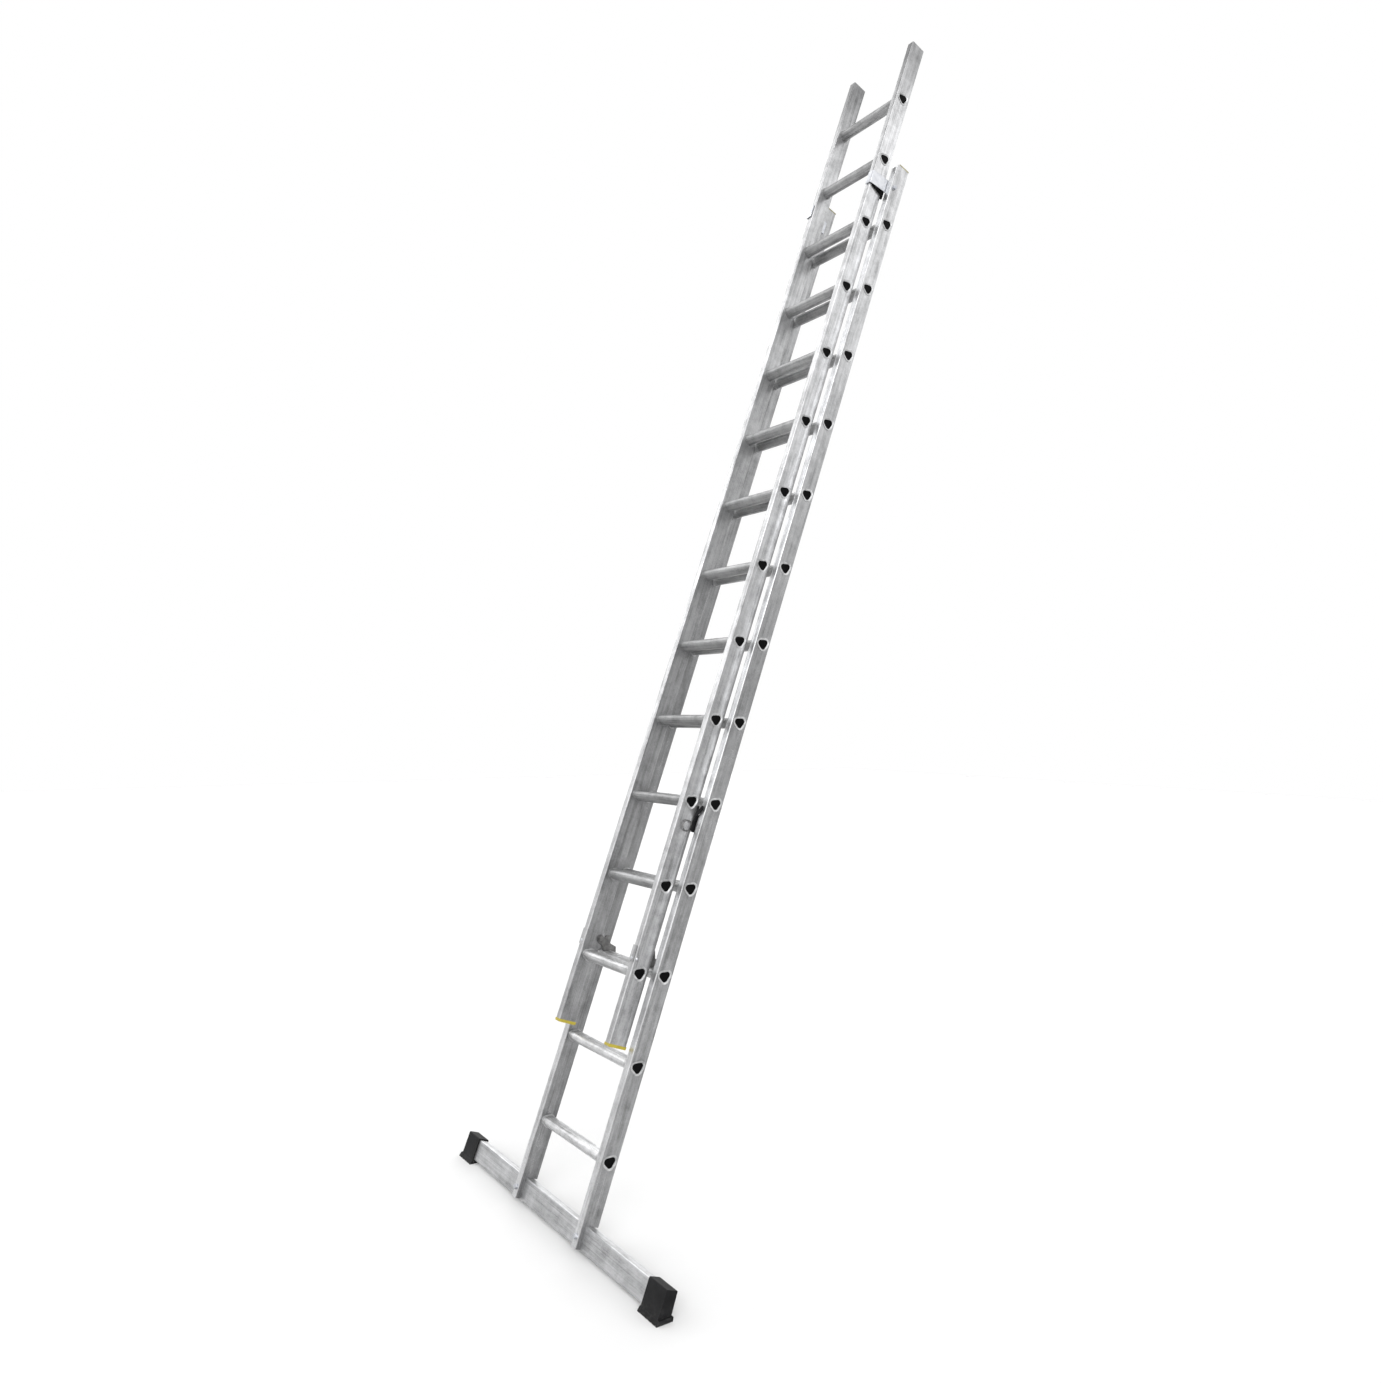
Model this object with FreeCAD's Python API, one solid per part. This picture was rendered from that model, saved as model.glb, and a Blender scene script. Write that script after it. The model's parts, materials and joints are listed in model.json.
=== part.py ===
import FreeCAD, Part
import math
import os

os.makedirs("parts", exist_ok=True)

# Two-section push-up extension ladder, leaning at its working angle.
#
# All pieces are first built in the ladder's own axes, in mm: X across the rungs (the climber's right
# is +X), Y from the climber towards the wall, S up the stiles. S = 0 is the axis of the lowest base
# rung and Y = 0 is the middle of the fly section. stand() then leans them onto the floor.

# ---------------------------------------------------------------- driving dimensions (mm, degrees)
LEAN = 20.0                  # stiles from vertical: the treads and the soles are level at this angle
PITCH = 250.0                # rung to rung
RUNG_COUNT = 13              # rungs in each section

FLY_WIDTH = 308.0            # fly section over its stiles
FLY_STILE_W = 22.0           # stile size across the ladder
FLY_STILE_D = 58.0           # stile size front to back
FLY_FIRST_RUNG = 488.0       # S of the lowest fly rung, with the fly two rungs out
FLY_BOTTOM = 291.0           # lower end of the fly stiles
FLY_TOP = 3712.0             # upper end of the fly stiles

BASE_WIDTH = 382.0           # base section over its stiles
BASE_STILE_W = 25.0
BASE_STILE_D = 54.0
BASE_Y = 58.0                # middle of the base section behind the middle of the fly
BASE_TOP = 3225.0            # upper end of the base stiles, under their caps
BASE_NOSE_BOTTOM = -222.0    # lower end of the base stiles' front part, over the stabiliser bar

STILE_WALL = 2.0
STILE_CORNER = 3.0
TOP_CORNER_R = 12.0          # rounded front corner at the upper end of a base stile
FLY_CORNER_R = 7.0           # the same at the upper end of a fly stile
CAP_THICK = 4.0
CAP_DEPTH = 26.0             # an end cap's tongue inside its stile
CAP_EASE = 0.2

RUNG_WALL = 1.6
RUNG_SHIFT = 1.5             # rung axis behind the middle of its stiles
RUNG_R = 11.0                # the rung's section is a triangle rounded this much at all three corners
CORNER_U, CORNER_V = 8.0, 3.8        # centres of the two tread corners, either side of the rung axis
KEEL_V = -6.3                        # centre of the keel's corner
TREAD_V = CORNER_V + RUNG_R          # tread above the rung axis
SIDE_U = CORNER_U + RUNG_R           # widest point from the rung axis
RIM_OUT = 4.0                # flared rim beyond the rung tube
RIM_THICK = 1.6
BEAD_OUT = 2.6               # bead against the inner wall of the stile
BEAD_THICK = 1.6
PLUG_LENGTH = 12.0
PLUG_RECESS = 1.2
PLUG_EASE = 0.05
GROOVE_COUNT = 5
GROOVE_STEP = 3.6
GROOVE_W = 1.6
GROOVE_DEEP = 0.9

FLY_CAP_HEIGHT = 8.5         # yellow block under each fly stile
FLY_CAP_PROUD = 0.6

BAR_Y0, BAR_Y1 = 48.0, 74.0  # stabiliser bar, front and back faces
BAR_S0, BAR_S1 = -225.0, -164.0
BAR_WALL = 2.0
BAR_CORNER = 3.0
BAR_HALF = 560.0
FOOT_X0, FOOT_X1 = 498.0, 572.0
FOOT_WALL = 4.0
SOLE_Y0, SOLE_Y1 = 38.0, 81.0
SOLE_S = -240.0              # front lower edge of the sole
SOLE_THICK = 11.0
SOLE_FLARE = 8.0             # sole beyond the sleeve at its outer end
SOLE_LIP = 3.0               # sole beyond the sleeve at its inner end

GUIDE_S0, GUIDE_S1 = 3121.0, 3168.0
GUIDE_STRAP = 2.5
GUIDE_CLEAR_Y = 1.6          # strap to the fly stile's front
GUIDE_CLEAR_X = 2.4          # strap to the fly stile's side at its front corner, past the rung rims
GUIDE_LIP = 18.0             # width of the strap's lip over the fly stile's front
GUIDE_BACK = 58.0
PAD_CLEAR = 3.2              # pad to the fly stile's side
PAD_THIN = 0.4               # thickness of the pad's front edge
PAD_SHORT = 1.0              # pad to the front of the base stile
PAD_LOW_FRONT, PAD_LOW_BACK = 3119.0, 3109.0     # the pad's sloping lower edge
PAD_TAIL_Y, PAD_TAIL_S = 24.0, 3094.0            # its tail beside the base stile's front
GUIDE_BOLT = (45.0, 3137.0)

HOOK_PLATE = 3.0             # thickness of the bracket on the fly stile
HOOK_S0, HOOK_S1 = 513.0, 560.0
HOOK_PIVOT = (20.0, 543.0)
HOOK_THICK = 5.0
HOOK_OFF = 0.7               # hook to the rung it hangs on
HOOKED_RUNG = 2 * PITCH      # the base rung the hooks hang on
HOOK_GAP = 0.4               # hook to its bracket and to its pin's head
HOOK_PIN_HEAD_R, HOOK_PIN_HEAD_H = 7.0, 3.0
PIN_R = 4.0
PIN_CLEAR = 0.05
RIVET_S = 524.0              # rivets of the bracket
RIVET_R, RIVET_BALL, RIVET_SUNK = 6.5, 6.0, 3.9      # its head is the top of a ball

CATCH_S0, CATCH_S1 = 908.0, 948.0
CATCH_Y0, CATCH_Y1 = 29.0, 37.0
CATCH_X0, CATCH_X1 = 136.0, 156.6
CATCH_PIVOT = (33.0, 939.0)
LEVER_X0, LEVER_X1 = 157.2, 161.2
TAB_X = 183.0                # how far the catch's thumb tab reaches in front of the base stile
TAB_Y0, TAB_Y1 = 24.0, 28.5
CATCH_PIN_R = 2.5
CATCH_PIN_DEEP = 12.0        # the pin inside the housing
CATCH_HEAD_R, CATCH_HEAD_H = 4.2, 1.5
CATCH_HEAD_GAP = 0.3         # lever to the pin's head
LOOP_CENTRE = (8.0, 918.0)
LOOP_R = 15.5
LOOP_WIRE_R = 1.5
LOOP_FROM, LOOP_TO = 40.0, 310.0

BOLT_AF = 13.0               # hexagon across flats, M8
BOLT_R = 4.0
HEAD_H = 5.3
HOLE_CLEAR = 0.2             # bolt holes beyond the bolt
WASHER_R, WASHER_H = 8.0, 1.6
NUT_H = 8.0
BAR_BOLT_TAIL = 11.0         # bolt's end beyond the back of the bar
INTO_HEAD = 3.0              # how far a shank runs into its own head

V = FreeCAD.Vector
ROLL = math.radians(LEAN)
FLY_HALF = FLY_WIDTH / 2
BASE_HALF = BASE_WIDTH / 2
FLY_IN = FLY_HALF - FLY_STILE_W
BASE_IN = BASE_HALF - BASE_STILE_W
BOLT_X = BASE_HALF - BASE_STILE_W / 2        # the bar bolts, on the middle of the base stiles
BAR_MID = (BAR_S0 + BAR_S1) / 2
SIDES = (("left", -1), ("right", 1))


# ---------------------------------------------------------------- helpers
def corner_wire(points, radii, place):
    """A closed wire through 2-D points with its corners rounded; place turns (a, b) into a vector."""
    edges, ends = [], []
    count = len(points)
    for i in range(count):
        before, here, after = points[i - 1], points[i], points[(i + 1) % count]
        r = radii[i]
        if r <= 0:
            ends.append((here, here))
            continue
        ua = (before[0] - here[0], before[1] - here[1])
        ub = (after[0] - here[0], after[1] - here[1])
        la, lb = math.hypot(*ua), math.hypot(*ub)
        ua, ub = (ua[0] / la, ua[1] / la), (ub[0] / lb, ub[1] / lb)
        half = math.acos(max(-1.0, min(1.0, ua[0] * ub[0] + ua[1] * ub[1]))) / 2
        reach = r / math.tan(half)
        start = (here[0] + ua[0] * reach, here[1] + ua[1] * reach)
        end = (here[0] + ub[0] * reach, here[1] + ub[1] * reach)
        middle = (ua[0] + ub[0], ua[1] + ub[1])
        lm = math.hypot(*middle)
        out = r / math.sin(half) - r
        tip = (here[0] + middle[0] / lm * out, here[1] + middle[1] / lm * out)
        edges.append(Part.Arc(place(*start), place(*tip), place(*end)).toShape())
        ends.append((start, end))
    for i in range(count):
        a, b = ends[i][1], ends[(i + 1) % count][0]
        if math.hypot(a[0] - b[0], a[1] - b[1]) > 1e-6:
            edges.append(Part.LineSegment(place(*a), place(*b)).toShape())
    return Part.Wire(Part.__sortEdges__(edges))


def grow(points, by):
    """A convex outline, counted anticlockwise, with every side moved outwards."""
    lines = []
    for i, (x0, y0) in enumerate(points):
        x1, y1 = points[(i + 1) % len(points)]
        length = math.hypot(x1 - x0, y1 - y0)
        nx, ny = (y1 - y0) / length, -(x1 - x0) / length
        lines.append((nx, ny, nx * x0 + ny * y0 + by))
    out = []
    for i in range(len(points)):
        (a, b, c), (d, e, f) = lines[i - 1], lines[i]
        det = a * e - b * d
        out.append(((c * e - b * f) / det, (a * f - c * d) / det))
    return out


def across(points, x0, x1, radii=None):
    """A (Y, S) outline extruded along X."""
    x0, x1 = min(x0, x1), max(x0, x1)
    wire = corner_wire(points, radii or [0] * len(points), lambda y, s: V(x0, y, s))
    return Part.Face(wire).extrude(V(x1 - x0, 0, 0))


def along(points, s0, s1, radii=None):
    """An (X, Y) outline extruded up the stiles."""
    wire = corner_wire(points, radii or [0] * len(points), lambda x, y: V(x, y, s0))
    return Part.Face(wire).extrude(V(0, 0, s1 - s0))


def block(x0, x1, y0, y1, s0, s1):
    x0, x1 = min(x0, x1), max(x0, x1)
    return Part.makeBox(x1 - x0, y1 - y0, s1 - s0, V(x0, y0, s0))


def rod(r, x0, x1, y, s):
    x0, x1 = min(x0, x1), max(x0, x1)
    return Part.makeCylinder(r, x1 - x0, V(x0, y, s), V(1, 0, 0))


def one(shape):
    """The single solid of a boolean result."""
    solids = shape.Solids
    assert len(solids) == 1, "expected one solid, found %d" % len(solids)
    return solids[0]


def stand(shape):
    """Lean the ladder and set its soles on Z = 0, with the origin midway between the two soles."""
    out = shape.copy()
    out.rotate(V(0, 0, 0), V(1, 0, 0), -LEAN)
    y_mid = (SOLE_Y0 + SOLE_Y1) / 2
    s_mid = SOLE_S + (y_mid - SOLE_Y0) * math.tan(ROLL)
    y0 = y_mid * math.cos(ROLL) + s_mid * math.sin(ROLL)
    z0 = -y_mid * math.sin(ROLL) + s_mid * math.cos(ROLL)
    out.translate(V(0, -y0, -z0))
    return out


def save(name, shape, leaned=False):
    solids = shape if isinstance(shape, list) else [shape]
    placed = solids if leaned else [stand(s) for s in solids]
    out = placed[0] if len(placed) == 1 else Part.makeCompound(placed)
    for s in placed:
        assert s.isValid() and s.Volume > 0, name
    out.exportStep("parts/%s.step" % name)
    box = out.BoundBox
    print("%-24s %2d %10.1f mm3  x %.1f..%.1f  y %.1f..%.1f  z %.1f..%.1f" % (
        name, len(placed), sum(s.Volume for s in placed),
        box.XMin, box.XMax, box.YMin, box.YMax, box.ZMin, box.ZMax))


# ---------------------------------------------------------------- rungs
def rung_section(by=0.0):
    """Corners and radii of the rung's section, tread up; by moves its outline outwards."""
    centres = [(0.0, KEEL_V), (CORNER_U, CORNER_V), (-CORNER_U, CORNER_V)]
    return grow(centres, RUNG_R + by), [RUNG_R + by] * 3


def tilt(u, v, y, s):
    """A point of a rung's level section in the ladder's (Y, S) axes."""
    return (y + RUNG_SHIFT + u * math.cos(ROLL) - v * math.sin(ROLL),
            s + u * math.sin(ROLL) + v * math.cos(ROLL))


def rung_prism(y, s, x0, x1, by=0.0):
    points, radii = rung_section(by)
    return across([tilt(u, v, y, s) for u, v in points], x0, x1, radii)


def treads(y, s, half):
    """The grooves along the tread."""
    cuts = []
    for i in range(GROOVE_COUNT):
        u = (i - (GROOVE_COUNT - 1) / 2) * GROOVE_STEP
        points = [(u - GROOVE_W / 2, TREAD_V + 0.5), (u - GROOVE_W / 2, TREAD_V - GROOVE_DEEP),
                  (u + GROOVE_W / 2, TREAD_V - GROOVE_DEEP), (u + GROOVE_W / 2, TREAD_V + 0.5)]
        cuts.append(across([tilt(a, b, y, s) for a, b in points], -half, half))
    return cuts


def rung(y, s, half, stile_w):
    """A tube through both stiles, beaded inside them and flared over their outer faces."""
    inner = half - stile_w
    body = rung_prism(y, s, -half - RIM_THICK, half + RIM_THICK)
    extras = []
    for sign in (-1, 1):
        extras.append(rung_prism(y, s, sign * half, sign * (half + RIM_THICK), RIM_OUT))
        extras.append(rung_prism(y, s, sign * (inner - BEAD_THICK), sign * inner, BEAD_OUT))
    body = body.fuse(extras)
    hollow = rung_prism(y, s, -half - 5, half + 5, -RUNG_WALL)
    body = body.cut([hollow] + treads(y, s, inner - BEAD_THICK - 1))
    for sign in (-1, 1):
        body = body.cut(flare(y, s, sign * (half + RIM_THICK), sign))
    return one(body)


def flare(y, s, x, sign):
    """The bell mouth of a rung's end: wide at the rim's face, the tube's bore at its root."""
    wires = []
    for back, by in ((-0.2, RIM_OUT - 1.2), (RIM_THICK - 0.2, -RUNG_WALL)):
        section, radii = rung_section(by)
        points = [tilt(u, v, y, s) for u, v in section]
        at = x - sign * back
        wires.append(corner_wire(points, radii, lambda a, b, at=at: V(at, a, b)))
    return Part.makeLoft(wires, True, True)


def plug(y, s, x, sign):
    out = x - sign * PLUG_RECESS
    return rung_prism(y, s, out - sign * PLUG_LENGTH, out, -RUNG_WALL - PLUG_EASE)


# ---------------------------------------------------------------- stiles
def stile(x_in, x_out, y, depth, s0, s1, rungs):
    """A box-section stile with a hole through both walls for each rung."""
    x0, x1 = min(x_in, x_out), max(x_in, x_out)
    y0, y1 = y - depth / 2, y + depth / 2
    outer = [(x0, y0), (x1, y0), (x1, y1), (x0, y1)]
    inner = grow(outer, -STILE_WALL)
    tube = along(outer, s0, s1, [STILE_CORNER] * 4).cut(
        along(inner, s0 - 1, s1 + 1, [STILE_CORNER - STILE_WALL] * 4))
    return tube.cut([rung_prism(y, s, x0 - 1, x1 + 1) for s in rungs])


def front_corner(x0, x1, y, s, r):
    """What a rounded upper front corner takes away; (y, s) is the square corner."""
    x0, x1 = min(x0, x1), max(x0, x1)
    square = block(x0 - 2, x1 + 2, y - 2, y + r, s - r, s + 2)
    return square.cut(rod(r, x0 - 3, x1 + 3, y + r, s - r))


base_rungs = [PITCH * i for i in range(RUNG_COUNT)]
fly_rungs = [FLY_FIRST_RUNG + PITCH * i for i in range(RUNG_COUNT)]
base_y0, base_y1 = BASE_Y - BASE_STILE_D / 2, BASE_Y + BASE_STILE_D / 2
fly_y0, fly_y1 = -FLY_STILE_D / 2, FLY_STILE_D / 2

for side, sign in SIDES:
    x_in, x_out = sign * BASE_IN, sign * BASE_HALF
    body = stile(x_in, x_out, BASE_Y, BASE_STILE_D, BASE_NOSE_BOTTOM, BASE_TOP, base_rungs)
    notch = block(x_in - sign * 1, x_out + sign * 1, BAR_Y0, base_y1 + 1, BASE_NOSE_BOTTOM - 1, BAR_S1)
    bolt_hole = Part.makeCylinder(BOLT_R + HOLE_CLEAR, 30, V(sign * BOLT_X, base_y0 - 5, BAR_MID), V(0, 1, 0))
    guide_hole = rod(BOLT_R + HOLE_CLEAR, x_in - sign, x_out + sign, *GUIDE_BOLT)
    round_top = front_corner(x_in, x_out, base_y0, BASE_TOP, TOP_CORNER_R)
    save("base_stile_" + side, one(body.cut([notch, bolt_hole, guide_hole, round_top])))

    x_in, x_out = sign * FLY_IN, sign * FLY_HALF
    body = stile(x_in, x_out, 0.0, FLY_STILE_D, FLY_BOTTOM, FLY_TOP, fly_rungs)
    pin_hole = rod(PIN_R, x_in - sign, x_in + sign * 8, *HOOK_PIVOT)
    round_top = front_corner(x_in, x_out, fly_y0, FLY_TOP, FLY_CORNER_R)
    save("fly_stile_" + side, one(body.cut([pin_hole, round_top])))

for i, s in enumerate(base_rungs):
    save("base_rung_%02d" % (i + 1), rung(BASE_Y, s, BASE_HALF, BASE_STILE_W))
for i, s in enumerate(fly_rungs):
    save("fly_rung_%02d" % (i + 1), rung(0.0, s, FLY_HALF, FLY_STILE_W))
save("base_rung_plugs", [plug(BASE_Y, s, sign * BASE_HALF, sign) for s in base_rungs for _, sign in SIDES])
save("fly_rung_plugs", [plug(0.0, s, sign * FLY_HALF, sign) for s in fly_rungs for _, sign in SIDES])


# ---------------------------------------------------------------- end caps of the stiles
def tongue(sign, inner, outer, y0, y1, s0, s1):
    """The part of an end cap inside its stile, given the stile's outer size."""
    gap = STILE_WALL + CAP_EASE
    points = grow([(min(sign * inner, sign * outer), y0), (max(sign * inner, sign * outer), y0),
                   (max(sign * inner, sign * outer), y1), (min(sign * inner, sign * outer), y1)], -gap)
    return along(points, s0, s1, [STILE_CORNER - STILE_WALL] * 4)


def base_cap(sign):
    """A thin cover on a base stile's flat top, with a tongue that also fills its rounded corner."""
    core = tongue(sign, BASE_IN, BASE_HALF, base_y0, base_y1, BASE_TOP - CAP_DEPTH, BASE_TOP)
    core = core.cut(front_corner(BASE_IN * sign, BASE_HALF * sign, base_y0, BASE_TOP, TOP_CORNER_R))
    cover = across([(base_y0 + TOP_CORNER_R * 0.7, BASE_TOP), (base_y1, BASE_TOP),
                    (base_y1, BASE_TOP + CAP_THICK), (base_y0 + TOP_CORNER_R, BASE_TOP + CAP_THICK)],
                   sign * BASE_IN, sign * BASE_HALF, [0, 0, 1.5, 3.0])
    return one(core.fuse(cover).removeSplitter())


def fly_top_plug(sign):
    """A plug flush with the upper end of a fly stile."""
    core = tongue(sign, FLY_IN, FLY_HALF, fly_y0, fly_y1, FLY_TOP - CAP_DEPTH, FLY_TOP)
    return one(core.cut(front_corner(FLY_IN * sign, FLY_HALF * sign, fly_y0, FLY_TOP, FLY_CORNER_R)))


def fly_cap(sign):
    """A block under a fly stile, rounded below, with a tongue up inside the tube."""
    x_in, x_out = sign * (FLY_IN - FLY_CAP_PROUD), sign * (FLY_HALF + FLY_CAP_PROUD)
    y0, y1 = fly_y0 - FLY_CAP_PROUD, fly_y1 + FLY_CAP_PROUD
    s0 = FLY_BOTTOM - FLY_CAP_HEIGHT
    shoe = across([(y0, s0), (y1, s0), (y1, FLY_BOTTOM), (y0, FLY_BOTTOM)], x_in, x_out,
                  [3.0, 3.0, 0, 0])
    core = tongue(sign, FLY_IN, FLY_HALF, fly_y0, fly_y1, FLY_BOTTOM - 1, FLY_BOTTOM + CAP_DEPTH)
    return one(shoe.fuse(core).removeSplitter())


for side, sign in SIDES:
    save("base_top_cap_" + side, base_cap(sign))
    save("fly_top_plug_" + side, fly_top_plug(sign))
    save("fly_bottom_cap_" + side, fly_cap(sign))


# ---------------------------------------------------------------- top guides, on the base section
def guide_line():
    """Where the strap's inner surface turns: (X from the middle of the ladder, Y)."""
    return (FLY_HALF + GUIDE_CLEAR_X, fly_y0 - GUIDE_CLEAR_Y), (BASE_IN - GUIDE_STRAP, base_y0)


def guide_strap(sign):
    """A steel strap from the base stile's inner face, forward past the fly stile and over its front."""
    (xa, ya), (xb, yb) = guide_line()
    lip = FLY_HALF - GUIDE_LIP
    outline = [(BASE_IN, GUIDE_BACK), (xb, GUIDE_BACK), (xb, yb), (xa, ya), (lip, ya),
               (lip, ya - GUIDE_STRAP), (xa + GUIDE_STRAP, ya - GUIDE_STRAP), (BASE_IN, yb - GUIDE_STRAP)]
    radii = [0, 0, 2.0, 1.0, 0, 1.0, 1.0 + GUIDE_STRAP, 4.0]
    body = along([(sign * x, y) for x, y in outline], GUIDE_S0, GUIDE_S1, radii)
    return one(body.cut(rod(BOLT_R + HOLE_CLEAR, sign * (xb - 1), sign * (BASE_IN + 1), *GUIDE_BOLT)))


def guide_pad(sign):
    """The black pad between the strap and the fly stile's side, longest beside the base stile."""
    (xa, ya), (xb, yb) = guide_line()
    slope = (xb - xa) / (yb - ya)
    near = FLY_HALF + PAD_CLEAR
    front = ya + (near + PAD_THIN - xa) / slope
    back = yb - PAD_SHORT
    wedge = [(near, front), (near + PAD_THIN, front), (xa + (back - ya) * slope, back), (near, back)]
    body = along([(sign * x, y) for x, y in wedge], PAD_TAIL_S, GUIDE_S1)
    side = across([(ya, PAD_LOW_FRONT), (PAD_TAIL_Y, PAD_LOW_BACK), (PAD_TAIL_Y, PAD_TAIL_S),
                   (yb, PAD_TAIL_S), (yb, GUIDE_S1), (ya, GUIDE_S1)],
                  sign * (near - 5), sign * (BASE_IN + 5), [0, 4.0, 0, 0, 0, 0])
    return one(body.common(side))


def hex_head(x, y, s, axis, height):
    """A hexagon head standing on (x, y, s) along axis."""
    r = BOLT_AF / 2 / math.cos(math.pi / 6)
    points = []
    for i in range(6):
        a, b = r * math.cos(math.pi / 3 * i), r * math.sin(math.pi / 3 * i)
        points.append(V(x, y + a, s + b) if axis.x else V(x + a, y, s + b))
    face = Part.Face(Part.makePolygon(points + [points[0]]))
    return face.extrude(axis * height)


def guide_bolt(sign):
    """Head and washer on the base stile's outer face, shank through the stile and the strap."""
    y, s = GUIDE_BOLT
    x = sign * BASE_HALF
    washer = rod(WASHER_R, x, x + sign * WASHER_H, y, s)
    head = hex_head(x + sign * WASHER_H, y, s, V(sign, 0, 0), HEAD_H)
    shank = rod(BOLT_R, sign * (BASE_IN - GUIDE_STRAP), x + sign * INTO_HEAD, y, s)
    return one(washer.fuse([head, shank]).removeSplitter())


for side, sign in SIDES:
    save("top_guide_" + side, guide_strap(sign))
    save("top_guide_pad_" + side, guide_pad(sign))
save("top_guide_bolts", [guide_bolt(sign) for _, sign in SIDES])


# ---------------------------------------------------------------- stabiliser bar and feet
def bar():
    outer = [(BAR_Y0, BAR_S0), (BAR_Y1, BAR_S0), (BAR_Y1, BAR_S1), (BAR_Y0, BAR_S1)]
    tube = across(outer, -BAR_HALF, BAR_HALF, [BAR_CORNER] * 4)
    tube = tube.cut(across(grow(outer, -BAR_WALL), -BAR_HALF - 1, BAR_HALF + 1,
                           [BAR_CORNER - BAR_WALL] * 4))
    holes = [Part.makeCylinder(BOLT_R + HOLE_CLEAR, 60, V(sign * BOLT_X, BAR_Y0 - 20, BAR_MID), V(0, 1, 0))
             for _, sign in SIDES]
    return one(tube.cut(holes))


def bar_bolt(sign):
    """Head and washer on the stile's front face, shank through the stile's front and the bar."""
    x, back = sign * BOLT_X, V(0, 1, 0)
    washer = Part.makeCylinder(WASHER_R, WASHER_H, V(x, base_y0 - WASHER_H, BAR_MID), back)
    head = hex_head(x, base_y0 - WASHER_H, BAR_MID, -back, HEAD_H)
    y_head, y_end = base_y0 - INTO_HEAD, BAR_Y1 + BAR_BOLT_TAIL
    shank = Part.makeCylinder(BOLT_R, y_end - y_head, V(x, y_head, BAR_MID), back)
    return one(washer.fuse([head, shank]).removeSplitter())


def bar_nut(sign):
    nut = hex_head(sign * BOLT_X, BAR_Y1, BAR_MID, V(0, 1, 0), NUT_H)
    return one(nut.cut(Part.makeCylinder(BOLT_R, 20, V(sign * BOLT_X, BAR_Y1 - 5, BAR_MID), V(0, 1, 0))))


def bar_spacer(sign):
    """The block inside the notched stile that the bar bolt clamps against."""
    body = tongue(sign, BASE_IN, BASE_HALF, base_y0, base_y1, BASE_NOSE_BOTTOM + 1, BAR_S1 - 2)
    body = body.common(block(sign * BASE_IN, sign * BASE_HALF, base_y0, BAR_Y0, BAR_S0, BAR_S1))
    hole = Part.makeCylinder(BOLT_R + HOLE_CLEAR, 40, V(sign * BOLT_X, base_y0, BAR_MID), V(0, 1, 0))
    return one(body.cut(hole))


def sole_s(y):
    """S of the floor under the ladder at Y = y."""
    return SOLE_S + (y - SOLE_Y0) * math.tan(ROLL)


def foot(sign):
    """A rubber cap over the end of the bar, flared into a flat sole."""
    lower0, lower1 = SOLE_Y0 + 4, SOLE_Y1 - 2
    sleeve = across([(lower0, sole_s(lower0) + 2), (lower1, sole_s(lower1) + 2),
                     (BAR_Y1 + FOOT_WALL, BAR_S1 + FOOT_WALL), (BAR_Y0 - FOOT_WALL, BAR_S1 + FOOT_WALL)],
                    sign * FOOT_X0, sign * FOOT_X1, [0, 0, 3.5, 3.5])
    pad = across([(SOLE_Y0, SOLE_S), (SOLE_Y1, sole_s(SOLE_Y1)),
                  (lower1 + 0.5, sole_s(lower1) + SOLE_THICK), (lower0 - 0.5, sole_s(lower0) + SOLE_THICK)],
                 sign * (FOOT_X0 - SOLE_LIP), sign * (FOOT_X1 + SOLE_FLARE))
    body = sleeve.fuse(pad)
    cavity = across([(BAR_Y0, BAR_S0), (BAR_Y1, BAR_S0), (BAR_Y1, BAR_S1), (BAR_Y0, BAR_S1)],
                    sign * (FOOT_X0 - 10), sign * BAR_HALF, [BAR_CORNER] * 4)
    body = stand(one(body.cut(cavity).removeSplitter()))
    x0 = FOOT_X0 - SOLE_LIP
    grooves = [block(sign * (x0 + 12 + 16 * i), sign * (x0 + 15 + 16 * i), -60, 60, -2, 1.5)
               for i in range(5)]
    return one(body.cut(grooves))


save("stabiliser_bar", bar())
save("bar_bolts", [bar_bolt(sign) for _, sign in SIDES])
save("bar_nuts", [bar_nut(sign) for _, sign in SIDES])
save("bar_spacers", [bar_spacer(sign) for _, sign in SIDES])
for side, sign in SIDES:
    save("foot_" + side, foot(sign), leaned=True)


# ---------------------------------------------------------------- rung hooks, on the fly section
def hook_bracket(sign):
    """A folded plate on the fly stile: a cheek on its inner face and a tab over its front."""
    a, b = FLY_IN - HOOK_PLATE, FLY_IN
    front = fly_y0 - HOOK_PLATE
    outline = [(b, fly_y1 + 2), (a, fly_y1 + 2), (a, front), (FLY_HALF - 2, front),
               (FLY_HALF - 2, fly_y0), (b, fly_y0)]
    body = along([(sign * x, y) for x, y in outline], HOOK_S0, HOOK_S1, [0, 0, HOOK_PLATE + 0.5, 0, 0, 0])
    return one(body.cut(rod(PIN_R, sign * (a - 1), sign * (b + 1), *HOOK_PIVOT)))


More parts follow.
